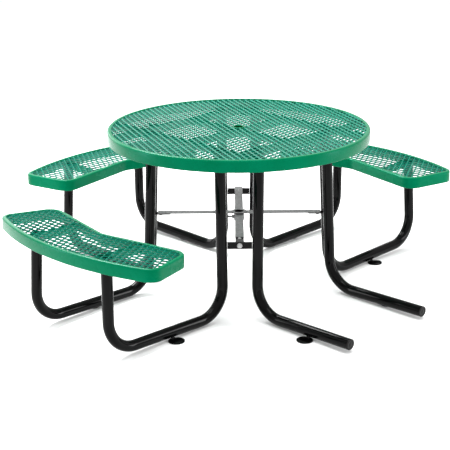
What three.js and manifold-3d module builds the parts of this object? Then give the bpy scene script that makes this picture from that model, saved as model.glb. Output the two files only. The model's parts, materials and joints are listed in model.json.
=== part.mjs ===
// Round expanded-metal picnic table with three fixed seats and one open, wheelchair-accessible side.
// Units are millimetres, +Z is up, and the origin is on the ground at the middle of the footprint.
// The seats stand on -Y (front), -X (left) and +Y (back); the open side faces +X.
import * as THREE from 'three';
import { mergeVertices } from 'three/addons/utils/BufferGeometryUtils.js';
import Module from 'manifold-3d';

const wasm = await Module();
wasm.setup();

// ---------------------------------------------------------------- driving dimensions
const GAP = 0.3;                  // clearance between pieces that are welded, bolted or pressed together

const TOP_RADIUS = 584;           // 46 inch table top
const TOP_HEIGHT = 750;           // ground to the top of the lip
const SKIRT_HEIGHT = 52;          // height of the band round the top and round each seat
const SKIRT_WALL = 5;             // coated thickness of that band
const LIP_WIDTH = 18;             // flat lip that the grille is welded to
const LIP_THICKNESS = 6;
const LIP_CHAMFER = 3;
const GRILLE_TOP = 2;             // grille surface below the lip
const GRILLE_THICKNESS = 5;

const RIB_TOP = 7.5;              // top edge of the stiffening bars below the lip
const RIB_DEPTH = 35;
const RIB_THICKNESS = 6;
const RIB_OFFSET = 302;           // long bars, each side of the centre
const RIB_HALF_LENGTH = 489;
const SEAT_RIB_DEPTH = 38;
const SEAT_RIB_START = -171;      // ends of a seat's cross bars, outwards from the seat's middle
const SEAT_RIB_END = 105;
const SEAT_RIB_OFFSET = 198.5;

const UMBRELLA_RADIUS = 21.5;     // bore for the umbrella pole
const HUB_RADIUS = 28;

const TUBE_RADIUS = 23.6;         // 1-7/8 inch frame tube
const TUBE_WALL = 2.2;
const TUBE_SIDES = 12;
const BEND_RADIUS = 130;
const BEND_STEPS = 7;
const LEG_OUT = 345.4;            // table-leg corner, outward from the centre
const LEG_APART = 241.5;          // half the spacing of a pair of runners
const RUNNER_LENGTH = 632.6;      // table-leg corner to seat-leg corner
const OPEN_RUNNER_LENGTH = 516;   // table-leg corner to the plugged end on the open side
const FRAME_PITCH = 0.0223;       // radians: the whole bent frame tips towards the centre
const FRAME_SPLAY = 0.039;        // radians: the two frames of a pair lean together
const SEAT_LEG_LEAN = 0.019;      // radians: the seat leg leans in past square
const TABLE_LEG_LENGTH = 714.5;
const SEAT_LEG_LENGTH = 397;

const SEAT_HEIGHT = 446.5;        // top of the seat lip at SEAT_MIDDLE
const SEAT_MIDDLE = 930;
const SEAT_TILT = 0.030;          // radians: the outer edge is the higher one

const PAD_RADIUS = 35;            // ground pads
const PAD_THICKNESS = 5;
const PAD_OUT = 653;
const PAD_ASIDE = 37;             // pad centre beside its runner
const PAD_NECK = 17;

const CROSSBAR_HEIGHT = 328;      // centre of the bars that tie neighbouring legs together
const CROSSBAR_DEPTH = 30;
const CROSSBAR_THICKNESS = 8;
const STRAP_WIDTH = 38;
const STRAP_THICKNESS = 4.4;
const STRAP_BOTTOM = CROSSBAR_HEIGHT + CROSSBAR_DEPTH / 2 + GAP;
const BRACKET_WIDTH = 36;
const BRACKET_THICKNESS = 4;
const BRACKET_REACH = 84;
const BRACKET_SPARE_HOLE = 357;    // open hole in the bracket, from the middle
const BOLT_RADIUS = 5;
const BOLT_HOLE_RADIUS = 5.4;

const COLLAR_TUBE_RADIUS = 23.5;
const COLLAR_FLANGE_RADIUS = 33.5;
const COLLAR_FLANGE_THICKNESS = 3;
const COLLAR_DEPTH = 43;
const CLAMP_HEIGHT = 328;         // axis of the clamp screw
const SCREW_RADIUS = 3.9;
const SCREW_TIP = 20.5;           // distance of the screw's tip from the pole axis at rest
const SCREW_HEAD = 50;            // where the wings begin

// ---------------------------------------------------------------- materials
function finish(name, color, roughness, metalness) {
  return new THREE.MeshStandardMaterial({ name, color, roughness, metalness });
}
const greenRim = finish('green_rim', 0x00885a, 0.35, 0);
const greenGrille = finish('green_grille', 0x00885a, 0.35, 0);
const blackFrame = finish('black_frame', 0x151516, 0.3, 0.1);
const blackPlug = finish('black_plug', 0x1e1e20, 0.6, 0);
const zinc = finish('zinc', 0x8f8f90, 0.45, 0.8);

// ---------------------------------------------------------------- solids
function toSolid(geometry) {
  const bare = geometry.clone();
  bare.deleteAttribute('normal');
  bare.deleteAttribute('uv');
  const merged = mergeVertices(bare, 1e-4);
  const vertProperties = new Float32Array(merged.attributes.position.array);
  const triVerts = new Uint32Array(merged.index.array);
  return new wasm.Manifold(new wasm.Mesh({ numProp: 3, vertProperties, triVerts }));
}

function toGeometry(solid) {
  const mesh = solid.getMesh();
  const geometry = new THREE.BufferGeometry();
  geometry.setAttribute('position', new THREE.BufferAttribute(new Float32Array(mesh.vertProperties), 3));
  geometry.setIndex(new THREE.BufferAttribute(new Uint32Array(mesh.triVerts), 1));
  geometry.computeVertexNormals();
  return geometry;
}

function piece(name, geometry, material) {
  const mesh = new THREE.Mesh(geometry, material);
  mesh.name = name;
  return mesh;
}

// A flat plate: the shape in the XY plane, from z = bottom upwards.
function plate(shape, bottom, thickness, curveSegments = 12) {
  const options = { depth: thickness, bevelEnabled: false, curveSegments };
  const geometry = new THREE.ExtrudeGeometry(shape, options);
  return geometry.translate(0, 0, bottom);
}

// A ring turned round Z. The profile is a closed loop of [radius, z] pairs, anticlockwise.
function turned(profile, segments) {
  const loop = [...profile, profile[0]].map(([radius, z]) => new THREE.Vector2(radius, z));
  return new THREE.LatheGeometry(loop, segments).rotateX(Math.PI / 2);
}

function disc(radius, sides = 6) {
  return new THREE.Shape().absarc(0, 0, radius, 0, 2 * Math.PI, false);
}

// A closed outline whose corners [x, y, radius] are rounded by arcs.
function roundedOutline(corners, inset = 0, Type = THREE.Shape) {
  const count = corners.length;
  const at = (i) => new THREE.Vector2(corners[(i + count) % count][0], corners[(i + count) % count][1]);
  const shifted = corners.map((corner, i) => {
    const before = at(i).sub(at(i - 1)).normalize();
    const after = at(i + 1).sub(at(i)).normalize();
    const miter = new THREE.Vector2(-before.y - after.y, before.x + after.x);
    const scale = inset * 2 / miter.lengthSq();
    return at(i).addScaledVector(miter, scale);
  });
  const outline = new Type();
  corners.forEach((corner, i) => {
    const here = shifted[i];
    const back = shifted[(i + count - 1) % count].clone().sub(here).normalize();
    const ahead = shifted[(i + 1) % count].clone().sub(here).normalize();
    const turnsLeft = back.cross(ahead) < 0;
    const radius = Math.max(2, corner[2] - (turnsLeft ? inset : -inset));
    const halfAngle = Math.acos(back.dot(ahead)) / 2;
    const inward = back.clone().add(ahead).normalize();
    const centre = here.clone().addScaledVector(inward, radius / Math.sin(halfAngle));
    const start = here.clone().addScaledVector(back, radius / Math.tan(halfAngle)).sub(centre);
    const end = here.clone().addScaledVector(ahead, radius / Math.tan(halfAngle)).sub(centre);
    outline.absarc(centre.x, centre.y, radius, start.angle(), end.angle(), !turnsLeft);
  });
  outline.closePath();
  return outline;
}

// ---------------------------------------------------------------- bent tubes
// A route of straight lines and circular bends, sampled only where it turns.
class BentRoute extends THREE.Curve {
  constructor(corners, bendRadius) {
    super();
    this.stations = [];
    corners.forEach((corner, i) => {
      const before = corners[i - 1];
      const after = corners[i + 1];
      if (!before || !after) {
        const tangent = before ? corner.clone().sub(before) : after.clone().sub(corner);
        this.stations.push({ point: corner.clone(), tangent: tangent.normalize() });
        return;
      }
      const back = before.clone().sub(corner).normalize();
      const ahead = after.clone().sub(corner).normalize();
      const halfAngle = back.angleTo(ahead) / 2;
      const towards = back.clone().add(ahead).normalize();
      const centre = corner.clone().addScaledVector(towards, bendRadius / Math.sin(halfAngle));
      const axis = new THREE.Vector3().crossVectors(ahead, back).normalize();
      const spoke = corner.clone().addScaledVector(back, bendRadius / Math.tan(halfAngle)).sub(centre);
      const sweep = Math.PI - 2 * halfAngle;
      for (let step = 0; step <= BEND_STEPS; step += 1) {
        const angle = sweep * step / BEND_STEPS;
        this.stations.push({
          point: spoke.clone().applyAxisAngle(axis, angle).add(centre),
          tangent: back.clone().negate().applyAxisAngle(axis, angle),
        });
      }
    });
  }

  get steps() {
    return this.stations.length - 1;
  }

  getPointAt(u, target = new THREE.Vector3()) {
    return target.copy(this.stations[Math.round(u * this.steps)].point);
  }

  getTangentAt(u, target = new THREE.Vector3()) {
    return target.copy(this.stations[Math.round(u * this.steps)].tangent);
  }
}

function tubeSection() {
  const section = disc(TUBE_RADIUS);
  section.holes.push(new THREE.Path().absarc(0, 0, TUBE_RADIUS - TUBE_WALL, 0, 2 * Math.PI, false));
  return section;
}

function bentTube(corners) {
  const extrudePath = new BentRoute(corners, BEND_RADIUS);
  return new THREE.ExtrudeGeometry(tubeSection(), {
    extrudePath, steps: extrudePath.steps, curveSegments: TUBE_SIDES / 2, bevelEnabled: false,
  });
}

// Corners in the frame's own plane: outward is -Y, up the table leg is +Z.
function framePoint(outward, up) {
  const cos = Math.cos(FRAME_PITCH);
  const sin = Math.sin(FRAME_PITCH);
  return new THREE.Vector3(0, -(outward * cos - up * sin), outward * sin + up * cos);
}

function seatFrameTube() {
  const seatLegFoot = RUNNER_LENGTH - SEAT_LEG_LENGTH * Math.sin(SEAT_LEG_LEAN);
  return bentTube([
    framePoint(0, TABLE_LEG_LENGTH), framePoint(0, 0),
    framePoint(RUNNER_LENGTH, 0), framePoint(seatLegFoot, SEAT_LEG_LENGTH),
  ]);
}

function openSideTube() {
  return bentTube([framePoint(0, TABLE_LEG_LENGTH), framePoint(0, 0), framePoint(OPEN_RUNNER_LENGTH, 0)]);
}

function endPlug() {
  const spigot = TUBE_RADIUS - TUBE_WALL - 1;
  const cap = TUBE_RADIUS;
  const profile = [[0, -20], [spigot, -20], [spigot, GAP], [cap, GAP], [cap, 3], [cap - 2, 5], [0, 5]];
  const points = profile.map(([radius, z]) => new THREE.Vector2(radius, z));
  const geometry = new THREE.LatheGeometry(points, TUBE_SIDES);
  return geometry.rotateX(Math.PI);
}

// ---------------------------------------------------------------- ground pad: a disc with a neck
function groundPad(side) {
  const discPlate = plate(disc(PAD_RADIUS), 0, PAD_THICKNESS, 12);
  const neck = new THREE.BoxGeometry(PAD_NECK, PAD_NECK, 16);
  neck.translate(-side * (PAD_ASIDE - 15), 0, 8 + PAD_THICKNESS - 1);
  const runner = new THREE.CylinderGeometry(TUBE_RADIUS + GAP, TUBE_RADIUS + GAP, 200, 2 * TUBE_SIDES);
  runner.rotateX(FRAME_PITCH * -1);
  const runnerHeight = TUBE_RADIUS + (PAD_OUT - LEG_OUT) * Math.sin(FRAME_PITCH);
  runner.translate(-side * PAD_ASIDE, 0, runnerHeight);
  return toGeometry(toSolid(discPlate).add(toSolid(neck)).subtract(toSolid(runner)));
}

// ---------------------------------------------------------------- one side of the table: two bent frames
const SIDES = [
  { name: 'front', turn: 0, seat: true },
  { name: 'left', turn: -Math.PI / 2, seat: true },
  { name: 'back', turn: Math.PI, seat: true },
  { name: 'open_side', turn: Math.PI / 2, seat: false },
];

function sideFrames({ name, turn, seat }) {
  const group = new THREE.Group();
  group.rotation.z = turn;
  for (const side of [-1, 1]) {
    const hand = side < 0 ? '1' : '2';
    const frame = new THREE.Group();
    frame.position.set(side * LEG_APART, -LEG_OUT, TUBE_RADIUS);
    frame.rotation.y = -side * FRAME_SPLAY;
    frame.add(piece(`${name}_frame_tube_${hand}`, seat ? seatFrameTube() : openSideTube(), blackFrame));
    if (!seat) {
      const plug = piece(`${name}_end_plug_${hand}`, endPlug(), blackPlug);
      plug.position.copy(framePoint(OPEN_RUNNER_LENGTH, 0));
      plug.rotation.x = -FRAME_PITCH;
      frame.add(plug);
    }
    group.add(frame);
    const pad = piece(`${name}_ground_pad_${hand}`, groundPad(side), blackFrame);
    pad.position.set(side * (LEG_APART + PAD_ASIDE), -PAD_OUT, 0);
    group.add(pad);
  }
  return group;
}

// ---------------------------------------------------------------- table top
function topRim() {
  const inner = TOP_RADIUS - SKIRT_WALL;
  const lip = TOP_RADIUS - LIP_WIDTH;
  const chamfer = 2 * LIP_CHAMFER;
  return turned([
    [inner, -SKIRT_HEIGHT], [TOP_RADIUS, -SKIRT_HEIGHT],
    [TOP_RADIUS, -chamfer], [TOP_RADIUS - LIP_CHAMFER, -1.5], [TOP_RADIUS - chamfer, 0],
    [lip, 0], [lip, -LIP_THICKNESS], [inner, -LIP_THICKNESS],
  ], 64);
}

function topGrille() {
  const outline = disc(TOP_RADIUS - LIP_WIDTH - GAP);
  outline.holes.push(new THREE.Path().absarc(0, 0, HUB_RADIUS + GAP, 0, 2 * Math.PI, false));
  return plate(outline, -GRILLE_TOP - GRILLE_THICKNESS, GRILLE_THICKNESS, 32);
}

function umbrellaHub() {
  const bottom = -RIB_TOP - RIB_DEPTH;
  return turned([
    [UMBRELLA_RADIUS, bottom], [HUB_RADIUS, bottom], [HUB_RADIUS, 0], [UMBRELLA_RADIUS, 0],
  ], 24);
}

// A bar on edge along X, halved where another bar crosses it.
function bar(from, to, depth, notches = [], notchFromTop = true) {
  const low = -RIB_TOP - depth;
  const middle = -RIB_TOP - depth / 2;
  const half = RIB_THICKNESS / 2 + GAP;
  const slack = notchFromTop ? -GAP / 2 : GAP / 2;
  const notch = (x) => [[x - half, middle + slack], [x + half, middle + slack]];
  const edge = (z) => notches.flatMap((x) => [[x - half, z], ...notch(x), [x + half, z]]);
  const lower = notchFromTop ? [] : edge(low);
  const upper = notchFromTop ? edge(-RIB_TOP) : [];
  const side = [[from, low], ...lower, [to, low], [to, -RIB_TOP], ...upper.reverse(), [from, -RIB_TOP]];
  const shape = new THREE.Shape(side.map(([x, z]) => new THREE.Vector2(x, z)));
  const geometry = new THREE.ExtrudeGeometry(shape, { depth: RIB_THICKNESS, bevelEnabled: false });
  return geometry.translate(0, 0, -RIB_THICKNESS / 2).rotateX(Math.PI / 2);
}

function tableTop() {
  const group = new THREE.Group();
  group.position.z = TOP_HEIGHT;
  group.add(piece('top_rim', topRim(), greenRim));
  group.add(piece('top_grille', topGrille(), greenGrille));
  group.add(piece('umbrella_hub', umbrellaHub(), greenRim));
  const crossings = [-RIB_OFFSET, RIB_OFFSET];
  crossings.forEach((offset, i) => {
    const alongBar = bar(-RIB_HALF_LENGTH, RIB_HALF_LENGTH, RIB_DEPTH, crossings, true);
    const acrossBar = bar(-RIB_HALF_LENGTH, RIB_HALF_LENGTH, RIB_DEPTH, crossings, false);
    const along = piece(`top_bar_x_${i + 1}`, alongBar, greenRim);
    along.position.y = offset;
    const across = piece(`top_bar_y_${i + 1}`, acrossBar, greenRim);
    across.rotation.z = Math.PI / 2;
    across.position.x = offset;
    group.add(along, across);
  });
  const reach = RIB_OFFSET - RIB_THICKNESS / 2 - GAP;
  for (const { name, turn } of SIDES) {
    const spoke = piece(`top_spoke_${name}`, bar(HUB_RADIUS + 2 * GAP, reach, RIB_DEPTH), greenRim);
    spoke.rotation.z = turn - Math.PI / 2;
    group.add(spoke);
  }
  return group;
}

// ---------------------------------------------------------------- seats
// Rounded corners [x, y, radius], anticlockwise. Outward from the table is -Y; y = 0 is SEAT_MIDDLE.
const SEAT_CORNERS = [
  [503, -22, 52],
  [427, 226, 67],
  [0, 136.5, 80],
  [-427, 226, 67],
  [-503, -22, 52],
  [0, -213.4, 1225],
];

function seatRim() {
  const skirt = roundedOutline(SEAT_CORNERS);
  skirt.holes.push(roundedOutline(SEAT_CORNERS, SKIRT_WALL, THREE.Path));
  const lip = roundedOutline(SEAT_CORNERS, LIP_CHAMFER);
  lip.holes.push(roundedOutline(SEAT_CORNERS, LIP_WIDTH, THREE.Path));
  const band = toSolid(plate(skirt, -SKIRT_HEIGHT, SKIRT_HEIGHT - LIP_CHAMFER, 7));
  return toGeometry(band.add(toSolid(plate(lip, -LIP_THICKNESS, LIP_THICKNESS, 7))));
}

function seatGrille() {
  const outline = roundedOutline(SEAT_CORNERS, LIP_WIDTH + GAP);
  return plate(outline, -GRILLE_TOP - GRILLE_THICKNESS, GRILLE_THICKNESS, 7);
}

function seat({ name, turn }) {
  const group = new THREE.Group();
  group.rotation.z = turn;
  const deck = new THREE.Group();
  deck.position.set(0, -SEAT_MIDDLE, SEAT_HEIGHT);
  deck.rotation.x = -SEAT_TILT;
  deck.add(piece(`${name}_seat_rim`, seatRim(), greenRim));
  deck.add(piece(`${name}_seat_grille`, seatGrille(), greenGrille));
  for (const side of [-1, 1]) {
    const ribSolid = bar(SEAT_RIB_START, SEAT_RIB_END, SEAT_RIB_DEPTH).rotateZ(-Math.PI / 2);
    const rib = piece(`${name}_seat_bar_${side < 0 ? '1' : '2'}`, ribSolid, greenRim);
    rib.position.set(side * SEAT_RIB_OFFSET, 0, 0);
    deck.add(rib);
  }
  group.add(deck);
  return group;
}

// ---------------------------------------------------------------- umbrella support between the legs
// Each corner lies between two sides; its own -Y points outward along the diagonal.
// The front_open and back_left straps meet the collar low; the other two meet it one strap higher.
const UPPER = STRAP_THICKNESS + GAP;
const CORNERS = [
  { name: 'front_left', turn: -Math.PI / 4, lift: UPPER, strapEnd: 370 },
  { name: 'front_open', turn: Math.PI / 4, lift: 0, strapEnd: 345 },
  { name: 'back_open', turn: 3 * Math.PI / 4, lift: UPPER, strapEnd: 370 },
  { name: 'back_left', turn: -3 * Math.PI / 4, lift: 0, strapEnd: 420 },
];

const legRise = CROSSBAR_HEIGHT - TUBE_RADIUS;
const legAside = LEG_APART - legRise * FRAME_SPLAY;
const legOutward = LEG_OUT - legRise * FRAME_PITCH;
const CROSSBAR_OUT = (legAside + legOutward) / Math.SQRT2;
const LEG_TO_LEG = (legOutward - legAside) * Math.SQRT2;
const BRACKET_FACE = CROSSBAR_OUT - CROSSBAR_THICKNESS / 2 - GAP;

function crossbar() {
  const length = LEG_TO_LEG - 2 * TUBE_RADIUS - 1.2;
  const block = new THREE.BoxGeometry(length, CROSSBAR_THICKNESS, CROSSBAR_DEPTH);
  const hole = new THREE.CylinderGeometry(BOLT_HOLE_RADIUS, BOLT_HOLE_RADIUS, 20, TUBE_SIDES);
  return toGeometry(toSolid(block).subtract(toSolid(hole)));
}

// An angle bracket: one leg against the crossbar's inner face, one leg in under the strap it is welded to.
function bracket(lift) {
  const top = STRAP_BOTTOM + lift - GAP;
  const bottom = CROSSBAR_HEIGHT - CROSSBAR_DEPTH / 2;
  const inner = BRACKET_FACE - BRACKET_THICKNESS;
  const end = BRACKET_FACE - BRACKET_REACH;
  const side = [
    [BRACKET_FACE, bottom], [BRACKET_FACE, top], [end, top], [end, top - BRACKET_THICKNESS],
    [inner, top - BRACKET_THICKNESS], [inner, bottom],
  ];
  const shape = new THREE.Shape(side.map(([out, z]) => new THREE.Vector2(-out, z)));
  const angle = new THREE.ExtrudeGeometry(shape, { depth: BRACKET_WIDTH, bevelEnabled: false });
  angle.translate(0, 0, -BRACKET_WIDTH / 2);
  angle.rotateX(Math.PI / 2).rotateZ(Math.PI / 2);
  let solid = toSolid(angle);
  const boltHole = new THREE.CylinderGeometry(BOLT_HOLE_RADIUS, BOLT_HOLE_RADIUS, 20, TUBE_SIDES);
  boltHole.translate(0, -BRACKET_FACE, CROSSBAR_HEIGHT);
  solid = solid.subtract(toSolid(boltHole));
  const spareHole = new THREE.CylinderGeometry(4.7, 4.7, 20, TUBE_SIDES).rotateX(Math.PI / 2);
  spareHole.translate(0, -BRACKET_SPARE_HOLE, top);
  solid = solid.subtract(toSolid(spareHole));
  return toGeometry(solid);
}

// A through bolt: head outside the crossbar, nut inside the bracket.
function bracketBolt() {
  const head = CROSSBAR_OUT + CROSSBAR_THICKNESS / 2 + GAP;
  const nut = BRACKET_FACE - BRACKET_THICKNESS - GAP;
  const profile = [
    [0, nut - 12], [BOLT_RADIUS, nut - 12], [BOLT_RADIUS, nut - 8], [9, nut - 8], [9, nut],
    [BOLT_RADIUS, nut],
    [BOLT_RADIUS, head], [12.5, head], [12.5, head + 2], [8.5, head + 2], [7.5, head + 7], [0, head + 8],
  ];
  const points = profile.map(([radius, out]) => new THREE.Vector2(radius, out));
  const geometry = new THREE.LatheGeometry(points, TUBE_SIDES).rotateX(Math.PI);
  return geometry.translate(0, 0, CROSSBAR_HEIGHT);
}

// A flat strap, hollowed at its inner end where it is welded to the collar tube.
function strap(strapEnd, lift) {
  const blank = new THREE.BoxGeometry(STRAP_WIDTH, strapEnd, STRAP_THICKNESS);
  blank.translate(0, -strapEnd / 2, STRAP_BOTTOM + lift + STRAP_THICKNESS / 2);
  const cope = plate(disc(COLLAR_TUBE_RADIUS + GAP), STRAP_BOTTOM + lift - 1, STRAP_THICKNESS + 2, 16);
  const behind = new THREE.BoxGeometry(STRAP_WIDTH + 2, 28, STRAP_THICKNESS + 2);
  behind.translate(0, 0, STRAP_BOTTOM + lift + STRAP_THICKNESS / 2);
  return toGeometry(toSolid(blank).subtract(toSolid(cope)).subtract(toSolid(behind)));
}

function umbrellaCollar() {
  const flangeBottom = STRAP_BOTTOM + UPPER + STRAP_THICKNESS + GAP;
  const flangeTop = flangeBottom + COLLAR_FLANGE_THICKNESS;
  const ring = turned([
    [UMBRELLA_RADIUS, flangeTop - COLLAR_DEPTH], [COLLAR_TUBE_RADIUS, flangeTop - COLLAR_DEPTH],
    [COLLAR_TUBE_RADIUS, flangeBottom], [COLLAR_FLANGE_RADIUS, flangeBottom],
    [COLLAR_FLANGE_RADIUS, flangeTop], [UMBRELLA_RADIUS, flangeTop],
  ], 32);
  const nut = new THREE.CylinderGeometry(8, 8, 10, 6).rotateZ(Math.PI / 2);
  nut.translate(-27.5, 0, CLAMP_HEIGHT);
  const thread = new THREE.CylinderGeometry(SCREW_RADIUS + GAP, SCREW_RADIUS + GAP, 20, TUBE_SIDES);
  thread.rotateZ(Math.PI / 2).translate(-26, 0, CLAMP_HEIGHT);
  return toGeometry(toSolid(ring).add(toSolid(nut)).subtract(toSolid(thread)));
}

// The wing screw that clamps the umbrella pole; it stands out along -X.
function clampScrew() {
  const shank = new THREE.CylinderGeometry(SCREW_RADIUS, SCREW_RADIUS, SCREW_HEAD - SCREW_TIP, TUBE_SIDES);
  shank.rotateZ(Math.PI / 2).translate(-(SCREW_HEAD + SCREW_TIP) / 2, 0, CLAMP_HEIGHT);
  const hub = new THREE.CylinderGeometry(6, 6.5, 10, TUBE_SIDES);
  hub.rotateZ(Math.PI / 2).translate(-SCREW_HEAD - 2, 0, CLAMP_HEIGHT);
  const wing = roundedOutline([
    [-4, 5, 2], [-4, -5, 2], [10, -14, 4], [14, -4, 4], [14, 4, 4], [10, 14, 4],
  ]);
  const wings = plate(wing, -2, 4, 3).rotateZ(Math.PI).translate(-SCREW_HEAD - 1, 0, CLAMP_HEIGHT);
  return toGeometry(toSolid(shank).add(toSolid(hub)).add(toSolid(wings)));
}

function umbrellaSupport() {
  const group = new THREE.Group();
  for (const { name, turn, lift, strapEnd } of CORNERS) {
    const corner = new THREE.Group();
    corner.rotation.z = turn;
    const tie = piece(`crossbar_${name}`, crossbar(), blackFrame);
    tie.position.set(0, -CROSSBAR_OUT, CROSSBAR_HEIGHT);
    corner.add(tie);
    corner.add(piece(`strap_bracket_${name}`, bracket(lift), blackFrame));
    corner.add(piece(`bracket_bolt_${name}`, bracketBolt(), zinc));
    corner.add(piece(`umbrella_strap_${name}`, strap(strapEnd, lift), zinc));
    group.add(corner);
  }
  const socket = new THREE.Group();
  socket.rotation.z = Math.PI / 4;
  socket.add(piece('umbrella_collar', umbrellaCollar(), zinc));
  socket.add(piece('clamp_screw', clampScrew(), zinc));
  group.add(socket);
  return group;
}

// ---------------------------------------------------------------- the whole table
const table = new THREE.Group();
for (const side of SIDES) {
  table.add(sideFrames(side));
  if (side.seat) table.add(seat(side));
}
table.add(tableTop());
table.add(umbrellaSupport());

// Three sides carry seats and one does not, so the umbrella hole is not the middle of the footprint.
const bounds = new THREE.Box3().setFromObject(table);
table.position.x = -(bounds.min.x + bounds.max.x) / 2;
const part = new THREE.Group();
part.add(table);

export default part;
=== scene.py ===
"""Visual model of a round picnic table: coated expanded-metal top and seats on bent tubes.

Shapes are written in millimetres and made in metres, in the frame of the CAD model: +Z up, the
open side on +X, and the seats on -Y (front), -X (left) and +Y (back).
"""
import json
import math

import bmesh
import bpy
import numpy as np
from mathutils import Matrix, Vector

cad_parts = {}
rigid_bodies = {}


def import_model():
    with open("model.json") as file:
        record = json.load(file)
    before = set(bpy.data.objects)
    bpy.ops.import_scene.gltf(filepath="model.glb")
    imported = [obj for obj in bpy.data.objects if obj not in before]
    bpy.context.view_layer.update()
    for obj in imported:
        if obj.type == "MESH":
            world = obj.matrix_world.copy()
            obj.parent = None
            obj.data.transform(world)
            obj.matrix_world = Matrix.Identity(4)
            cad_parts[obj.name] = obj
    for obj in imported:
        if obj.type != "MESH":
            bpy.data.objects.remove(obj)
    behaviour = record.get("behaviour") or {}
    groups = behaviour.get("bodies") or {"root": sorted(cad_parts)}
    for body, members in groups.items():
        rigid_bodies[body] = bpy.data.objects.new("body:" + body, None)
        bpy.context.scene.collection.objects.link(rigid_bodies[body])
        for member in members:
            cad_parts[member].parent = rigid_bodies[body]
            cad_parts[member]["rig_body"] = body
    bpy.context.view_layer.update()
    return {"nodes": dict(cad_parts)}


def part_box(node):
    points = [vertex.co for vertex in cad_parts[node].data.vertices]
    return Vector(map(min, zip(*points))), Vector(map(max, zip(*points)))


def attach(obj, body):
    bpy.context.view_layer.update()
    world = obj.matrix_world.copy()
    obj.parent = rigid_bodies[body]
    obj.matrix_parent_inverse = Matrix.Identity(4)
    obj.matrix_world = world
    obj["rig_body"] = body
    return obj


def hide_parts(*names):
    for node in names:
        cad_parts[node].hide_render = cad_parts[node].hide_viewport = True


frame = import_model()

MM = 0.001
GAP = 0.3                                   # clearance between touching pieces, in millimetres

# ------------------------------------------------------- sizes of the real thing, in millimetres
TOP_RADIUS, TOP_HEIGHT = 584.0, 750.0
SKIRT_HEIGHT, SKIRT_WALL = 52.0, 5.0
LIP_WIDTH, LIP_THICKNESS, LIP_ROUND = 18.0, 6.0, 8.0

MESH_LONG, MESH_SHORT = 52.5, 29.6          # diamond of the expanded metal
STRAND_WIDTH, STRAND_THICKNESS, STRAND_ROUND = 8.4, 4.0, 1.6   # coated strand
BOND_SLOPE = math.radians(46)               # lean of the strands' flat faces
BOND_STEP = 4.4                             # distance between the two strands that meet in a bond
BOND_HALF_LENGTH = 4.5
MESH_DROP = 5.2                             # middle of the grille below the lip
MESH_INSET = LIP_WIDTH - 4                  # the strands end this far in, 4 mm under the lip
HUB_OVERLAP = 1.5                           # and reach this far into the umbrella ring

HUB_RADIUS, BORE_RADIUS = 28.0, 21.5        # the umbrella pole's bore, in hub and collar alike
RIB_TOP, RIB_DEPTH = 7.5, 35.0              # the hub is as deep as the top's bars

TUBE_RADIUS, TUBE_WALL, BEND_RADIUS = 23.6, 2.2, 130.0
LEG_OUT, LEG_APART = 345.4, 241.5
RUNNER_LENGTH, OPEN_RUNNER_LENGTH = 632.6, 516.0
TABLE_LEG_LENGTH, SEAT_LEG_LENGTH = 714.5, 397.0
FRAME_PITCH, FRAME_SPLAY, SEAT_LEG_LEAN = 0.0223, 0.039, 0.019

SEAT_MIDDLE, SEAT_HEIGHT, SEAT_TILT = 930.0, 446.5, 0.030
SEAT_CORNERS = [                            # x, y and radius of each corner of the outline
    (503, -22, 52), (427, 226, 67), (0, 136.5, 80),
    (-427, 226, 67), (-503, -22, 52), (0, -213.4, 1225),
]

PAD_RADIUS, PAD_THICKNESS, PAD_OUT, PAD_ASIDE = 35.0, 5.0, 653.0, 37.0
PAD_NECK_HALF_WIDTH, PAD_NECK_HALF_THICKNESS = 8.5, 2.6

LEG_BOLT_SIZE, CROSSBAR_BOLT_SIZE, FLANGE_BOLT_SIZE = 10, 10, 7.5
TOP_BOLT_SHARE, SEAT_BOLT_SHARE = 0.972, 0.965      # how far up its leg each bolt sits
LEG_BOLT_SINK = 0.6                                 # head set into the tube's curve

CROSSBAR_HEIGHT, CROSSBAR_THICKNESS = 328.0, 8.0
BRACKET_THICKNESS, FLANGE_BOLT_OUT = 4.0, 357.0     # the bolt's distance from the collar's axis

COLLAR_RADIUS, COLLAR_FLANGE_RADIUS, COLLAR_FLANGE_THICKNESS = 23.5, 33.5, 3
CLAMP_HEIGHT = 328.0
THREAD_RADIUS, THREAD_ROOT, THREAD_FLANK, THREAD_PITCH = 3.9, 3.3, 0.45, 1.25
THREAD_START, THREAD_END = 22.0, 47.0               # from the pole's axis

# turn of each side and corner about the table's axis, in degrees
SIDES = {"front": 0.0, "left": -90.0, "back": 180.0, "open_side": 90.0}
CORNERS = {"front_left": -45.0, "front_open": 45.0, "back_open": 135.0, "back_left": -135.0}

# direction in which the flat faces of each seat's strands lean; the top's is TOP_LEAN
SEAT_LEAN = {"front": 1, "left": 1, "back": -1}
TOP_LEAN = 1
TOP_MESH_ANGLE = math.radians(125.9)
SEAT_MESH_ANGLE, SEAT_MESH_REACH = math.pi / 2, 540

# the umbrella hole is off the middle of the footprint; the CAD hub says by how much
HUB_LOW, HUB_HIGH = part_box("umbrella_hub")
HUB_X = (HUB_LOW.x + HUB_HIGH.x) / 2


# ------------------------------------------------------- camera at the photograph's viewing angle
FOCAL_PIXELS, PHOTO_PIXELS = 1198.70, 450           # solved focal length; the photo's width
SENSOR_WIDTH = 36.0
CAMERA_TURN, CAMERA_DIP, CAMERA_ROLL = math.radians(45) + 0.00722, 0.31935, -0.00940
CAMERA_FROM_HUB = (3.6628, -3.7010, 2.0088)         # metres


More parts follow.
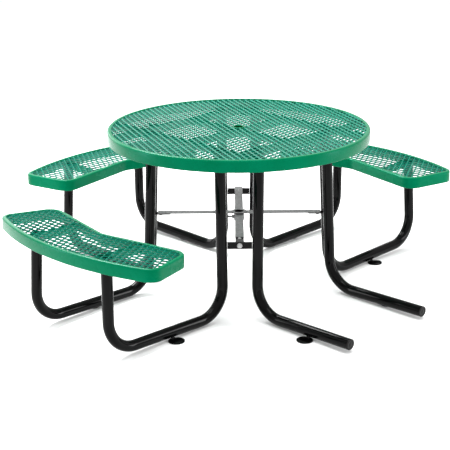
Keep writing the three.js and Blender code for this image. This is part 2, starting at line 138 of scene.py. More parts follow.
def make_camera():
    """Perspective camera on the diagonal between the front seat and the open side."""
    data = bpy.data.cameras.new("camera")
    data.sensor_width = SENSOR_WIDTH
    data.lens = FOCAL_PIXELS / PHOTO_PIXELS * SENSOR_WIDTH
    data.clip_start, data.clip_end = 0.05, 100.0
    level = math.cos(CAMERA_DIP)
    forward = Vector((-math.sin(CAMERA_TURN) * level, math.cos(CAMERA_TURN) * level,
                      -math.sin(CAMERA_DIP)))
    right = forward.cross(Vector((0, 0, 1))).normalized()
    up = right.cross(forward)
    cos, sin = math.cos(CAMERA_ROLL), math.sin(CAMERA_ROLL)
    right, up = right * cos + up * sin, up * cos - right * sin
    camera = bpy.data.objects.new("camera", data)
    basis = Matrix((right, up, -forward)).transposed()
    x, y, z = CAMERA_FROM_HUB
    camera.matrix_world = Matrix.Translation((x + HUB_X, y, z)) @ basis.to_4x4()
    bpy.context.scene.collection.objects.link(camera)
    bpy.context.scene.camera = camera


# ------------------------------------------------------- mesh building
def new_piece(name, points, faces, material, slot, nodes=(), place=None, body="table", sharp=35.0):
    """A mesh piece from points in millimetres.

    It rides on a body and stands for the CAD nodes named; edges sharper than sharp degrees stay
    sharp.
    """
    points = np.asarray(points, float).reshape(-1, 3)
    if place is not None:
        turn = np.array(place)
        points = points @ turn[:3, :3].T + turn[:3, 3]
    points = points + (HUB_X / MM, 0, 0)
    mesh = bpy.data.meshes.new(name)
    mesh.from_pydata((points * MM).tolist(), [], faces)
    shell = bmesh.new()
    shell.from_mesh(mesh)
    bmesh.ops.recalc_face_normals(shell, faces=shell.faces)
    shell.to_mesh(mesh)
    shell.free()
    mesh.shade_smooth()
    mesh.set_sharp_from_angle(angle=math.radians(sharp))
    piece = bpy.data.objects.new(name, mesh)
    bpy.context.scene.collection.objects.link(piece)
    mesh.materials.append(material)
    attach(piece, body)
    if nodes:
        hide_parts(*nodes)


def skin(rings, wrap=False, caps=True, offset=0):
    """Faces between successive closed rings of equal length; wrap joins the last to the first."""
    count, size = len(rings), len(rings[0])
    faces = []
    for i in range(count if wrap else count - 1):
        a, b = offset + i * size, offset + (i + 1) % count * size
        for j in range(size):
            k = (j + 1) % size
            faces.append((a + j, a + k, b + k, b + j))
    if caps and not wrap:
        faces.append(tuple(offset + j for j in reversed(range(size))))
        faces.append(tuple(offset + (count - 1) * size + j for j in range(size)))
    return faces


def join_shells(shells):
    """One list of points and faces from several (rings, wrap) shells."""
    points, faces = [], []
    for rings, wrap in shells:
        faces += skin(rings, wrap, offset=len(points))
        points += [tuple(p) for ring in rings for p in ring]
    return points, faces


def circle(radius, height, sides):
    """Points of one ring about Z."""
    angles = [2 * math.pi * i / sides for i in range(sides)]
    return [(radius * math.cos(a), radius * math.sin(a), height) for a in angles]


def turned(profile, sides=48):
    """Rings of a solid of revolution about Z; the (radius, z) profile runs between flat ends."""
    return [circle(radius, z, sides) for radius, z in profile]


def swept_round(loop, sides):
    """Points and faces of a ring-shaped solid: a closed loop of (radius, z) turned about Z."""
    rings = []
    for i in range(sides):
        a = 2 * math.pi * i / sides
        rings.append([(radius * math.cos(a), radius * math.sin(a), z) for radius, z in loop])
    return join_shells([(rings, True)])


def box_corners(half_x, half_y, radius):
    """Corners for rounded() of a rectangle about the origin."""
    return [(-half_x, -half_y, radius), (half_x, -half_y, radius),
            (half_x, half_y, radius), (-half_x, half_y, radius)]


def rounded(corners, steps=6):
    """Points and inward normals of a closed anticlockwise outline of (x, y, radius) corners."""
    points, normals = [], []
    count = len(corners)
    for i, (x, y, radius) in enumerate(corners):
        here = Vector((x, y))
        back = (Vector(corners[i - 1][:2]) - here).normalized()
        ahead = (Vector(corners[(i + 1) % count][:2]) - here).normalized()
        left_turn = back.x * ahead.y - back.y * ahead.x < 0
        half = math.acos(max(-1, min(1, back.dot(ahead)))) / 2
        centre = here + (back + ahead).normalized() * radius / math.sin(half)
        spoke = here + back * radius / math.tan(half) - centre
        sweep = (math.pi - 2 * half) * (1 if left_turn else -1)
        number = max(2, round(steps * max(1, radius / 90)))
        for step in range(number + 1):
            angle = sweep * step / number
            arm = Vector((spoke.x * math.cos(angle) - spoke.y * math.sin(angle),
                          spoke.x * math.sin(angle) + spoke.y * math.cos(angle)))
            points.append(centre + arm)
            normals.append(arm.normalized() * (-1 if left_turn else 1))
    return points, normals


def band_profile(steps=5):
    """Section of the coated band: (distance in from the outer face, height), rounded all round."""
    wall, lip = SKIRT_WALL, LIP_WIDTH
    corners = [
        (0, 0, LIP_ROUND), (0, -SKIRT_HEIGHT, 2.3), (wall, -SKIRT_HEIGHT, 2.3),
        (wall, -LIP_THICKNESS, 3.5), (lip, -LIP_THICKNESS, 2.6), (lip, 0, 2.6),
    ]
    return rounded(corners, steps)[0]


# ------------------------------------------------------- materials
def shader(name, color, roughness, metallic=0.0):
    """A node material with its Principled shader's plain values set on its own sockets."""
    material = bpy.data.materials.new(name)
    material.use_nodes = True
    nodes, links = material.node_tree.nodes, material.node_tree.links
    surface = nodes["Principled BSDF"]
    surface.inputs["Base Color"].default_value = (*color, 1)
    surface.inputs["Roughness"].default_value = roughness
    surface.inputs["Metallic"].default_value = metallic
    place = nodes.new("ShaderNodeTexCoord").outputs["Object"]
    return material, nodes, links, surface, place


def noise(nodes, links, place, scale, detail=4.0, roughness=0.55):
    """Value of a noise texture in the object's own space."""
    node = nodes.new("ShaderNodeTexNoise")
    node.inputs["Scale"].default_value = scale
    node.inputs["Detail"].default_value = detail
    node.inputs["Roughness"].default_value = roughness
    links.new(place, node.inputs["Vector"])
    return node.outputs["Fac"]


def grey(level):
    """The colour of one grey level."""
    return (level,) * 3


def ramp(nodes, links, value, stops):
    """Colour of a value between (position, colour) stops."""
    node = nodes.new("ShaderNodeValToRGB")
    elements = node.color_ramp.elements
    while len(elements) < len(stops):
        elements.new(0.5)
    for element, (position, color) in zip(elements, stops):
        element.position = position
        element.color = (*color, 1)
    links.new(value, node.inputs["Fac"])
    return node.outputs["Color"]


def bump(nodes, links, surface, height, strength, distance):
    """Small relief of the surface from a height value; distance is in metres."""
    node = nodes.new("ShaderNodeBump")
    node.inputs["Strength"].default_value = strength
    node.inputs["Distance"].default_value = distance
    links.new(height, node.inputs["Height"])
    links.new(node.outputs["Normal"], surface.inputs["Normal"])


def coating(name, deep, mid, light, roughness):
    """Thick dipped thermoplastic: smooth, a little uneven in thickness, with a soft gloss."""
    material, nodes, links, surface, place = shader(name, mid, roughness)
    cloud = noise(nodes, links, place, 9.0, 3.0)
    links.new(ramp(nodes, links, cloud, [(0.3, deep), (0.5, mid), (0.72, light)]),
              surface.inputs["Base Color"])
    patch = noise(nodes, links, place, 16.0, 2.0)
    gloss = [(0.3, grey(roughness - 0.03)), (0.75, grey(roughness + 0.05))]
    links.new(ramp(nodes, links, patch, gloss), surface.inputs["Roughness"])
    bump(nodes, links, surface, noise(nodes, links, place, 40.0, 1.0), 0.05, 0.0008)
    surface.inputs["Specular IOR Level"].default_value = 0.12
    surface.inputs["Specular Tint"].default_value = (0.05, 0.9, 1.0, 1.0)
    return material


def powder_coat():
    """Black powder coat on steel tube: semi-gloss with fine orange peel."""
    base = (0.004, 0.004, 0.0042)
    dark, light = (0.0008, 0.0008, 0.0009), (0.0018, 0.0018, 0.0019)
    material, nodes, links, surface, place = shader("black_powder_coat", base, 0.2)
    tone = noise(nodes, links, place, 14.0, 3.0)
    links.new(ramp(nodes, links, tone, [(0.3, dark), (0.7, light)]), surface.inputs["Base Color"])
    patch = noise(nodes, links, place, 20.0, 2.0)
    links.new(ramp(nodes, links, patch, [(0.3, grey(0.05)), (0.75, grey(0.09))]),
              surface.inputs["Roughness"])
    bump(nodes, links, surface, noise(nodes, links, place, 300.0, 1.0, 0.4), 0.02, 0.0002)
    surface.inputs["Specular IOR Level"].default_value = 0.10
    return material


def galvanised(name, dark, light):
    """Dull zinc: spangle patches that differ in tone and gloss, with a fine grain."""
    material, nodes, links, surface, place = shader(name, grey(light), 0.5, 0.75)
    cells = nodes.new("ShaderNodeTexVoronoi")
    cells.inputs["Scale"].default_value = 160.0
    cells.inputs["Randomness"].default_value = 1.0
    links.new(place, cells.inputs["Vector"])
    split = nodes.new("ShaderNodeSeparateColor")
    links.new(cells.outputs["Color"], split.inputs["Color"])
    tones = [(0.0, grey(dark)), (1.0, grey(light))]
    links.new(ramp(nodes, links, split.outputs["Red"], tones), surface.inputs["Base Color"])
    gloss = [(0.0, grey(0.42)), (1.0, grey(0.58))]
    links.new(ramp(nodes, links, split.outputs["Green"], gloss), surface.inputs["Roughness"])
    bump(nodes, links, surface, noise(nodes, links, place, 700.0, 4.0), 0.12, 0.0002)
    return material


def plug_plastic():
    """Moulded black plastic with a fine spark-eroded grain."""
    base = (0.007, 0.007, 0.0075)
    material, nodes, links, surface, place = shader("plug_plastic", base, 0.55)
    tones = [(0.3, grey(0.005)), (0.7, grey(0.009))]
    links.new(ramp(nodes, links, noise(nodes, links, place, 40.0), tones),
              surface.inputs["Base Color"])
    bump(nodes, links, surface, noise(nodes, links, place, 1500.0, 3.0), 0.25, 0.0002)
    surface.inputs["Specular IOR Level"].default_value = 0.2
    return material


GREEN = coating("green_coating",
                (0.0, 0.132, 0.051), (0.0, 0.142, 0.058), (0.0, 0.153, 0.065), 0.26)
GRILLE = coating("green_grille",
                 (0.0, 0.136, 0.083), (0.0, 0.150, 0.094), (0.0, 0.165, 0.105), 0.30)
BLACK = powder_coat()
ZINC = galvanised("galvanised", 0.14, 0.22)
BRIGHT_ZINC = galvanised("bright_zinc", 0.36, 0.48)
# dark olive coating that paints the shade falling on the umbrella hole's inner wall
HOLE_PAINTED_SHADE = coating("hole_painted_shade",
                       (0.002, 0.020, 0.0), (0.004, 0.034, 0.001), (0.007, 0.050, 0.002), 0.5)
PLUG = plug_plastic()


# ------------------------------------------------------- bent tubes
def bent_route(corners, steps=14):
    """Points and tangents of straight lines joined by circular bends in the plane x = 0."""
    stations = []
    for i, corner in enumerate(corners):
        if i == 0:
            stations.append((corner, (corners[1] - corner).normalized()))
            continue
        if i == len(corners) - 1:
            stations.append((corner, (corner - corners[i - 1]).normalized()))
            continue
        back = (corners[i - 1] - corner).normalized()
        ahead = (corners[i + 1] - corner).normalized()
        half = back.angle(ahead) / 2
        centre = corner + (back + ahead).normalized() * BEND_RADIUS / math.sin(half)
        axis = ahead.cross(back).normalized()
        spoke = corner + back * BEND_RADIUS / math.tan(half) - centre
        for step in range(steps + 1):
            turn = Matrix.Rotation((math.pi - 2 * half) * step / steps, 3, axis)
            stations.append((turn @ spoke + centre, turn @ -back))
    return stations


def tube_rings(stations, radius, sides=32):
    """Rings round a route that lies in the plane x = 0."""
    across = Vector((1, 0, 0))
    rings = []
    for point, tangent in stations:
        other = tangent.cross(across)
        angles = [2 * math.pi * i / sides for i in range(sides)]
        rings.append([point + radius * (math.cos(a) * across + math.sin(a) * other)
                      for a in angles])
    return rings


def frame_point(outward, up):
    """A point of a bent frame's own plane, which tips towards the table's middle."""
    cos, sin = math.cos(FRAME_PITCH), math.sin(FRAME_PITCH)
    return Vector((0, -(outward * cos - up * sin), outward * sin + up * cos))


def frame_place(side, hand):
    """From a bent frame's own plane to the table; hand is -1 or 1."""
    bay = Matrix.Rotation(math.radians(SIDES[side]), 4, "Z")
    lean = Matrix.Rotation(-hand * FRAME_SPLAY, 4, "Y")
    return bay @ Matrix.Translation((hand * LEG_APART, -LEG_OUT, TUBE_RADIUS)) @ lean


def make_frames():
    """The eight bent tubes, with the plugs, pads and bolts that go with each."""
    leg_top = frame_point(0, TABLE_LEG_LENGTH)
    heel = frame_point(0, 0)
    toe = frame_point(RUNNER_LENGTH, 0)
    seat_top = frame_point(RUNNER_LENGTH - SEAT_LEG_LENGTH * math.sin(SEAT_LEG_LEAN),
                           SEAT_LEG_LENGTH)
    open_end = frame_point(OPEN_RUNNER_LENGTH, 0)
    for side in SIDES:
        is_open = side == "open_side"
        route = bent_route([leg_top, heel, open_end] if is_open else [leg_top, heel, toe, seat_top])
        outer = tube_rings(route, TUBE_RADIUS)
        inner = tube_rings(route, TUBE_RADIUS - TUBE_WALL)
        points, faces = join_shells([(outer + inner[::-1], True)])
        for hand in (-1, 1):
            label = 1 if hand < 0 else 2
            place = frame_place(side, hand)
            new_piece(f"{side}_tube_{label}", points, faces, BLACK, "black_powder_coat",
                      [f"{side}_frame_tube_{label}"], place)
            if is_open:
                make_plug(label, place @ Matrix.Translation(open_end))
            make_pad(side, hand, label)
            seat_leg = None if is_open else (toe, seat_top)
            make_leg_bolts(side, hand, label, place, (heel, leg_top), seat_leg)


def make_plug(label, place):
    """Domed cap with a stepped rim and two short ribbed rings inside the tube."""
    cap = TUBE_RADIUS
    spigot = TUBE_RADIUS - TUBE_WALL - 0.6
    profile = [
        (spigot - 2, -20), (spigot - 0.5, -18.5), (spigot, -12), (spigot - 0.8, -11),
        (spigot, -10), (spigot, GAP), (cap - 0.8, GAP), (cap - 0.1, 0.8), (cap - 0.1, 2.6),
        (cap - 0.8, 3.9), (cap - 2.4, 4.7), (cap - 6, 4.95), (cap - 6.5, 4.4), (6.5, 4.4),
        (6.0, 4.9), (1.0, 5.0),
    ]
    turn = Matrix.Rotation(math.pi / 2 + FRAME_PITCH, 4, "X")
    points, faces = join_shells([(turned(profile), False)])
    new_piece(f"open_side_plug_{label}", points, faces, PLUG, "plug_plastic",
              [f"open_side_end_plug_{label}"], place @ turn, sharp=50)


def make_pad(side, hand, label):
    """Ground pad: a disc with a rounded edge and a bent neck up to the runner."""
    radius, thick = PAD_RADIUS, PAD_THICKNESS
    disc = turned([(radius - 1.2, 0.0), (radius - 0.3, 0.5), (radius, 1.4), (radius, thick - 1.6),
                   (radius - 0.5, thick - 0.5), (radius - 1.7, thick)], 64)
    inner_end = PAD_ASIDE - 12
    route = [(-6, 3.2), (-13, 4.0), (-18.5, 6.5), (-21.5, 10.5), (-inner_end, 16.0)]
    outline = rounded(box_corners(PAD_NECK_HALF_WIDTH, PAD_NECK_HALF_THICKNESS, 1.5), 2)[0]
    rings = []
    for i, (x, z) in enumerate(route):
        before, after = route[max(0, i - 1)], route[min(len(route) - 1, i + 1)]
        along = Vector((after[0] - before[0], 0, after[1] - before[1])).normalized()
        up = Vector((-along.z, 0, along.x))
        rings.append([Vector((x, 0, z)) + Vector((0, 1, 0)) * p.x + up * p.y for p in outline])
    rings = [[(hand * p[0], p[1], p[2]) for p in ring] for ring in rings]
    points, faces = join_shells([(disc, False), (rings, False)])
    bay = Matrix.Rotation(math.radians(SIDES[side]), 4, "Z")
    place = bay @ Matrix.Translation((hand * (LEG_APART + PAD_ASIDE), -PAD_OUT, 0))
    new_piece(f"{side}_pad_{label}", points, faces, BLACK, "black_powder_coat",
              [f"{side}_ground_pad_{label}"], place, sharp=40)


# ------------------------------------------------------- fasteners
def hexagon(radius, height, lift):
    """Rings of a hexagon with its corners chamfered top and bottom."""
    def ring(r, z):
        """Four points on each edge, close to the corners and along the flat."""
        points = []
        for i in range(6):
            a, b = math.radians(60 * i), math.radians(60 * i + 60)
            for t in (0.04, 0.35, 0.65, 0.96):
                x = math.cos(a) * (1 - t) + math.cos(b) * t
                y = math.sin(a) * (1 - t) + math.sin(b) * t
                points.append((r * x, r * y, z))
        return points
    return [ring(radius * 0.93, lift), ring(radius, lift + 0.7), ring(radius, lift + height - 0.9),
            ring(radius * 0.91, lift + height)]


def new_bolt(name, material, place, grip, size, tail, domed=False, nodes=()):
    """A bolt along +Z, head's underside at 0, with the washer and nut below the grip.

    The head is a hexagon on a washer, or a dome without one.
    """
    washer, washer_thick, shank = size * 1.15, 2, size / 2
    bolt_end, nut_height = -grip - tail, size * 0.75
    if domed:
        head = [(size * 0.98, 0.0), (size, 0.5), (size * 0.93, 2.2), (size * 0.72, 3.9),
                (size * 0.4, 5.0), (1.2, 5.4)]
        shells = [(turned(head, 40), False)]
    else:
        top_washer = [(washer - 0.4, -0.2), (washer, 0.2), (washer, 1.4), (washer - 0.4, 1.8)]
        shells = [(turned(top_washer, 40), False),
                  (hexagon(size * 0.95, size * 0.62, 1.8), False)]
    low_washer = [(washer - 0.4, -grip), (washer, -grip - 0.4), (washer, -grip - 1.6),
                  (washer - 0.4, -grip - washer_thick)]
    shells += [
        (turned([(shank, 1.0), (shank, bolt_end + 1), (shank - 1, bolt_end)], 24), False),
        (turned(low_washer, 40), False),
        (hexagon(size * 0.95, nut_height, -grip - washer_thick - nut_height), False),
    ]
    points, faces = join_shells(shells)
    new_piece(name, points, faces, material, "galvanised", nodes, place, sharp=40)


def make_leg_bolts(side, hand, label, place, table_leg, seat_leg):
    """One bolt through the top of each leg into the bar that it stands against."""
    grip, tail, head_out = 2 * TUBE_RADIUS + 7, 5, TUBE_RADIUS - LEG_BOLT_SINK
    at = table_leg[0].lerp(table_leg[1], TOP_BOLT_SHARE) + Vector((0, -head_out, 0))
    turn = Matrix.Rotation(math.pi / 2, 4, "X")
    new_bolt(f"{side}_top_bolt_{label}", ZINC, place @ Matrix.Translation(at) @ turn,
             grip, LEG_BOLT_SIZE, tail, domed=True)
    if seat_leg:
        at = seat_leg[0].lerp(seat_leg[1], SEAT_BOLT_SHARE) + Vector((hand * head_out, 0, 0))
        turn = Matrix.Rotation(hand * math.pi / 2, 4, "Y")
        new_bolt(f"{side}_seat_bolt_{label}", ZINC, place @ Matrix.Translation(at) @ turn,
                 grip, LEG_BOLT_SIZE, tail, domed=True)


# ------------------------------------------------------- expanded metal
def signed_distance(points, outline):
    """Distance of each point outside a closed anticlockwise outline; negative inside."""
    a = outline
    b = np.roll(outline, -1, 0)
    edge = b - a
    away = points[:, None, :] - a[None]
    along = np.clip((away * edge).sum(2) / (edge * edge).sum(1), 0, 1)
    gap = np.linalg.norm(away - along[..., None] * edge, axis=2).min(1)
    above = (a[:, 1] > points[:, 1, None]) != (b[:, 1] > points[:, 1, None])
    run = np.where(np.abs(edge[:, 1]) < 1e-9, 1e-9, edge[:, 1])
    cross_x = a[:, 0] + (points[:, 1, None] - a[:, 1]) * edge[:, 0] / run
    inside = (above & (points[:, 0, None] < cross_x)).sum(1) % 2 == 1
    return np.where(inside, -gap, gap)


def expanded_metal(long_angle, lean, reach, outside):
    """Zigzag strips of a raised expanded sheet, cut off where outside(xy) turns positive.

    The diamonds' long axis is at long_angle, and the strands' flat faces look up and towards lean
    times the short axis.
    """
    cos, sin = math.cos(long_angle), math.sin(long_angle)
    swing = (MESH_SHORT / 2 - BOND_STEP * math.cos(BOND_SLOPE)) / 2
    rise = BOND_STEP * math.sin(BOND_SLOPE) / 2
    halves = int(reach / (MESH_LONG / 2)) + 2
    strips = int(reach / (MESH_SHORT / 2)) + 2
    corners = box_corners(STRAND_WIDTH / 2, STRAND_THICKNESS / 2, STRAND_ROUND)
    section = np.array([[p.x, p.y] for p in rounded(corners, 2)[0]])
    wide_way = np.array([0, -lean * math.cos(BOND_SLOPE), math.sin(BOND_SLOPE)])
    points, faces = [], []
    total = 0
    for strip in range(-strips, strips + 1):
        path = []
        for half in range(-halves, halves + 1):
            peak = 1 if (half + strip) % 2 == 0 else -1
            x = half * MESH_LONG / 2
            y = strip * MESH_SHORT / 2 + peak * swing
            z = peak * lean * rise
            path += [(x - BOND_HALF_LENGTH, y, z), (x + BOND_HALF_LENGTH, y, z)]
        path = np.array(path)
        ahead = np.diff(path, axis=0)
        ahead /= np.linalg.norm(ahead, axis=1)[:, None]
        tangent = np.vstack([ahead[:1], ahead[1:] + ahead[:-1], ahead[-1:]])
        tangent /= np.linalg.norm(tangent, axis=1)[:, None]
        thin = np.cross(tangent, wide_way)
        thin /= np.linalg.norm(thin, axis=1)[:, None]
        wide = np.cross(thin, tangent)
        rings = (path[:, None] + section[:, 0, None] * wide[:, None]
                 + section[:, 1, None] * thin[:, None])
        turn = np.array([[cos, sin, 0], [-sin, cos, 0], [0, 0, 1]])
        rings, middle = rings @ turn, (path @ turn)[:, :2]
        gap = outside(middle)
        run = []
        for i in range(len(path)):
            if gap[i] < 0:
                if not run and i > 0:
                    run.append(cut_ring(rings[i - 1], rings[i], gap[i - 1], gap[i]))
                run.append(rings[i])
            elif run:
                run.append(cut_ring(rings[i - 1], rings[i], gap[i - 1], gap[i]))
            if run and (gap[i] >= 0 or i == len(path) - 1):
                if len(run) > 2:
                    faces += skin(run, offset=total)
                    points.append(np.concatenate(run))
                    total += len(run) * len(section)
                run = []
    return np.concatenate(points), faces


def cut_ring(before, after, gap_before, gap_after):
    """The strand's section where it crosses the outline."""
    share = gap_before / (gap_before - gap_after)
    return before + (after - before) * min(0.98, max(0.02, share))


# ------------------------------------------------------- table top
def make_top():
    """Band, expanded metal, umbrella ring and, inside that ring, a dark lining that is painted
    shade down the bore.
    """
    place = Matrix.Translation((0, 0, TOP_HEIGHT))
    points, faces = swept_round([(TOP_RADIUS - p.x, p.y) for p in band_profile()], 180)
    new_piece("table_top_band", points, faces, GREEN, "green_coated_bar", ["top_rim"], place)

    def outside(xy):
        """How far points are past the lip's cover or into the hub; negative on the mesh."""
        radius = np.linalg.norm(xy, axis=1)
        return np.maximum(radius - (TOP_RADIUS - MESH_INSET), HUB_RADIUS - HUB_OVERLAP - radius)

    points, faces = expanded_metal(TOP_MESH_ANGLE, TOP_LEAN, TOP_RADIUS, outside)
    new_piece("table_top_expanded_metal", points - (0, 0, MESH_DROP), faces, GRILLE,
              "green_coated_grille", ["top_grille"], place, sharp=60)
    bottom = -RIB_TOP - RIB_DEPTH
    loop = rounded([(BORE_RADIUS, bottom, 1.5), (HUB_RADIUS, bottom, 1.5),
                    (HUB_RADIUS, 0, 3), (BORE_RADIUS, 0, 3)])[0]
    new_piece("umbrella_hole_ring", *swept_round(loop, 64), GREEN, "green_coated_bar",
              ["umbrella_hub"], place)
    # dark skin of painted shade inside the umbrella ring's bore
    make_lining("umbrella_hole_painted_shade", bottom + 1, -3, HOLE_PAINTED_SHADE, "green_coated_bar", place)


# ------------------------------------------------------- seats
def make_seats():
    """Band and expanded metal of each of the three seats."""
    outline, inward = rounded(SEAT_CORNERS, 12)
    profile = band_profile()
    rings = [[(p.x + n.x * q.x, p.y + n.y * q.x, q.y) for q in profile]
             for p, n in zip(outline, inward)]
    band = join_shells([(rings, True)])
    edge = np.array([(p.x + n.x * MESH_INSET, p.y + n.y * MESH_INSET)
                     for p, n in zip(outline, inward)])
    for side, lean in SEAT_LEAN.items():
        deck = (Matrix.Rotation(math.radians(SIDES[side]), 4, "Z")
                @ Matrix.Translation((0, -SEAT_MIDDLE, SEAT_HEIGHT))
                @ Matrix.Rotation(-SEAT_TILT, 4, "X"))
        new_piece(f"{side}_seat_band", *band, GREEN, "green_coated_bar", [f"{side}_seat_rim"], deck)
        points, faces = expanded_metal(SEAT_MESH_ANGLE, lean, SEAT_MESH_REACH,
                                       lambda xy: signed_distance(xy, edge))
        new_piece(f"{side}_seat_expanded_metal", points - (0, 0, MESH_DROP), faces, GRILLE,
                  "green_coated_grille", [f"{side}_seat_grille"], deck, sharp=60)


# ------------------------------------------------------- flat bars, brackets and straps
def softened(node, material, width, segments=3):
    """The CAD piece with its flat faces made whole and its edges rounded by width millimetres."""
    source = frame["nodes"][node]
    mesh = source.data.copy()
    mesh.materials.clear()
    mesh.materials.append(material)
    shell = bmesh.new()
    shell.from_mesh(mesh)
    bmesh.ops.remove_doubles(shell, verts=shell.verts, dist=1e-5)
    bmesh.ops.dissolve_limit(shell, angle_limit=math.radians(1), verts=shell.verts,
                             edges=shell.edges)
    shell.to_mesh(mesh)
    shell.free()
    piece = bpy.data.objects.new(f"{node}_softened", mesh)
    bpy.context.scene.collection.objects.link(piece)
    bevel = piece.modifiers.new("edges", "BEVEL")
    bevel.width = width * MM
    bevel.segments = segments
    bevel.limit_method = "ANGLE"
    bevel.angle_limit = math.radians(40)
    bevel.harden_normals = False
    mesh.shade_smooth()
    mesh.set_sharp_from_angle(angle=math.radians(50))
    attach(piece, source["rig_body"])
    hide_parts(node)


def make_bars():
    """Everything that is a flat bar or a bent plate, straight from its CAD node."""
    for node in frame["nodes"]:
        if node.startswith(("top_bar", "top_spoke")) or "_seat_bar_" in node:
            softened(node, GREEN, 2.0)
        if node.startswith(("crossbar", "strap_bracket")):
            softened(node, BLACK, 1.0)
        if node.startswith("umbrella_strap"):
            softened(node, ZINC, 0.9)


def make_support():
    """The bolts through each crossbar and its bracket, and on the bracket's flange."""
    leg_rise = CROSSBAR_HEIGHT - TUBE_RADIUS
    aside = LEG_APART - leg_rise * FRAME_SPLAY
    outward = LEG_OUT - leg_rise * FRAME_PITCH
    bar_out = (aside + outward) / math.sqrt(2)
    grip = CROSSBAR_THICKNESS + BRACKET_THICKNESS + 2 * GAP + 0.4
    for corner, turn in CORNERS.items():
        bay = Matrix.Rotation(math.radians(turn), 4, "Z")
        face_out = -bar_out - CROSSBAR_THICKNESS / 2 - GAP
        face = bay @ Matrix.Translation((0, face_out, CROSSBAR_HEIGHT))
        new_bolt(f"crossbar_bolt_{corner}", BRIGHT_ZINC,
                 face @ Matrix.Rotation(math.pi / 2, 4, "X"),
                 grip, CROSSBAR_BOLT_SIZE, tail=6, nodes=[f"bracket_bolt_{corner}"])
        flange_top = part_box(f"strap_bracket_{corner}")[1].z / MM
        new_bolt(f"flange_bolt_{corner}", BRIGHT_ZINC,
                 bay @ Matrix.Translation((0, -FLANGE_BOLT_OUT, flange_top)),
                 BRACKET_THICKNESS, FLANGE_BOLT_SIZE, tail=4, domed=True)


def make_lining(name, bottom, top, material, slot, place=None):
    """Thin dark skin inside the umbrella pole's bore; inside the umbrella ring it is painted shade
    for the bore's shadowed wall.
    """
    inner, outer, edge = BORE_RADIUS - 0.7, BORE_RADIUS + 0.2, 0.2
    loop = rounded([(inner, bottom, edge), (outer, bottom, edge),
                    (outer, top, edge), (inner, top, edge)], 2)[0]
    new_piece(name, *swept_round(loop, 64), material, slot, (), place)


def make_collar():
    """Flanged tube for the umbrella pole, with its welded nut."""
    low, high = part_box("umbrella_collar")
    bottom, top = low.z / MM, high.z / MM
    flange = top - COLLAR_FLANGE_THICKNESS
    loop = rounded([
        (BORE_RADIUS, bottom, 0.8), (COLLAR_RADIUS, bottom, 0.8), (COLLAR_RADIUS, flange, 1.6),
        (COLLAR_FLANGE_RADIUS, flange, 1.0), (COLLAR_FLANGE_RADIUS, top, 1.2),
        (BORE_RADIUS, top, 2.2)])[0]
    new_piece("umbrella_collar_ring", *swept_round(loop, 96), ZINC, "galvanised",
              ["umbrella_collar"], sharp=40)
    make_lining("umbrella_collar_lining", bottom + 1, flange, BLACK, "black_powder_coat")
    place = Matrix.Rotation(math.pi / 4, 4, "Z") @ Matrix.Translation((0, 0, CLAMP_HEIGHT))
    place = place @ Matrix.Rotation(-math.pi / 2, 4, "Y")
    points, faces = join_shells([(hexagon(radius=8.3, height=9.0, lift=23.4), False)])
    new_piece("clamp_nut", points, faces, ZINC, "galvanised", (), place)
    make_clamp_screw(place)


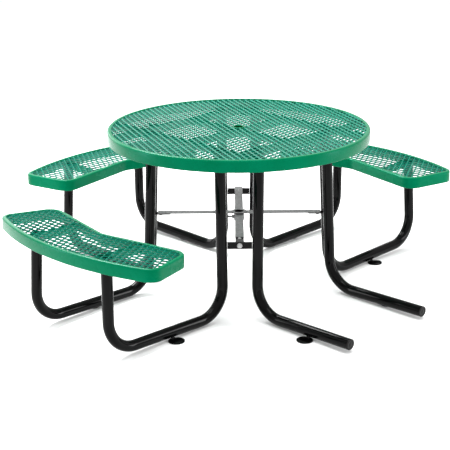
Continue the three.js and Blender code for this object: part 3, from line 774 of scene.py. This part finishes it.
def make_clamp_screw(place):
    """Threaded shank with a boss and two wings; +Z is outwards."""
    profile = [(2.6, 20.6), (3.4, 21.4)]
    z = THREAD_START
    while z < THREAD_END:
        profile += [(THREAD_ROOT, z), (THREAD_RADIUS, z + THREAD_FLANK),
                    (THREAD_ROOT, z + 2 * THREAD_FLANK)]
        z += THREAD_PITCH
    profile += [(THREAD_RADIUS, z), (4.6, z + 0.6), (6.0, z + 1.2), (6.4, z + 5.5),
                (5.2, z + 8.0), (2.0, z + 9.0)]
    shells = [(turned(profile, 24), False)]
    # a wing's sections from boss to tip: distance aside, height, half height, half thickness
    sections = ((3, 52, 5.0, 2.4), (7, 54, 4.6, 1.9), (10, 56.5, 4.4, 1.6), (12.6, 59, 3.6, 1.3),
                (13.4, 60.2, 2.0, 0.8))
    for hand in (-1, 1):
        wing = []
        for aside, height, half_height, half_thick in sections:
            outline = rounded(box_corners(half_height, half_thick, half_thick * 0.9), 4)[0]
            wing.append([(p.y, hand * aside, height + p.x) for p in outline])
        shells.append((wing, False))
    points, faces = join_shells(shells)
    new_piece("thumb_screw", points, faces, ZINC, "galvanised", ["clamp_screw"], place,
              body="clamp_screw", sharp=50)


# ------------------------------------------------------- studio
FLOOR_ALBEDO, FLOOR_HALF_SIZE, WORLD_STRENGTH = 0.95, 14.0, 1.05
LIGHTS = [                                  # name, place, target, size in metres, power in watts
    ("overhead", (0.4, -0.4, 4.6), (0, 0, 0.4), (2.6, 1.6), 110),
    ("high_left", (-2.6, 0.3, 3.8), (0.5, 0, 0.3), (1.8, 0.9), 280),
    ("back_left", (-4.4, 0.3, 1.9), (0, 0, 0.6), (3.4, 2.0), 60),
    ("left_strip", (-2.4, -3.4, 1.2), (0, 0, 0.4), (0.6, 2.4), 50),
    ("right_strip", (3.4, 2.4, 1.2), (0, 0, 0.4), (0.6, 2.4), 50),
]


def area_light(name, location, target, size, power):
    """A white rectangular light that looks at its target."""
    data = bpy.data.lights.new(name, "AREA")
    data.shape = "RECTANGLE"
    data.size, data.size_y = size
    data.energy = power
    lamp = bpy.data.objects.new(name, data)
    lamp.location = location
    lamp.rotation_euler = (Vector(target) - Vector(location)).to_track_quat("-Z", "Y").to_euler()
    bpy.context.scene.collection.objects.link(lamp)


def make_studio():
    """White floor, white surroundings and the lights."""
    mesh = bpy.data.meshes.new("studio_floor")
    half = FLOOR_HALF_SIZE
    corners = [(-half, -half, 0), (half, -half, 0), (half, half, 0), (-half, half, 0)]
    mesh.from_pydata(corners, [], [(0, 1, 2, 3)])
    mesh.materials.append(shader("studio_floor", grey(FLOOR_ALBEDO), 0.9)[0])
    floor = bpy.data.objects.new("studio_floor", mesh)
    bpy.context.scene.collection.objects.link(floor)
    world = bpy.data.worlds.new("studio")
    world.use_nodes = True
    sky = world.node_tree.nodes["Background"]
    sky.inputs["Color"].default_value = (1, 1, 1, 1)
    sky.inputs["Strength"].default_value = WORLD_STRENGTH
    bpy.context.scene.world = world
    for light in LIGHTS:
        area_light(*light)
    bpy.context.scene.view_settings.view_transform = "Standard"


# ------------------------------------------------------- build
make_camera()
make_frames()
make_top()
make_seats()
make_bars()
make_support()
make_collar()
make_studio()
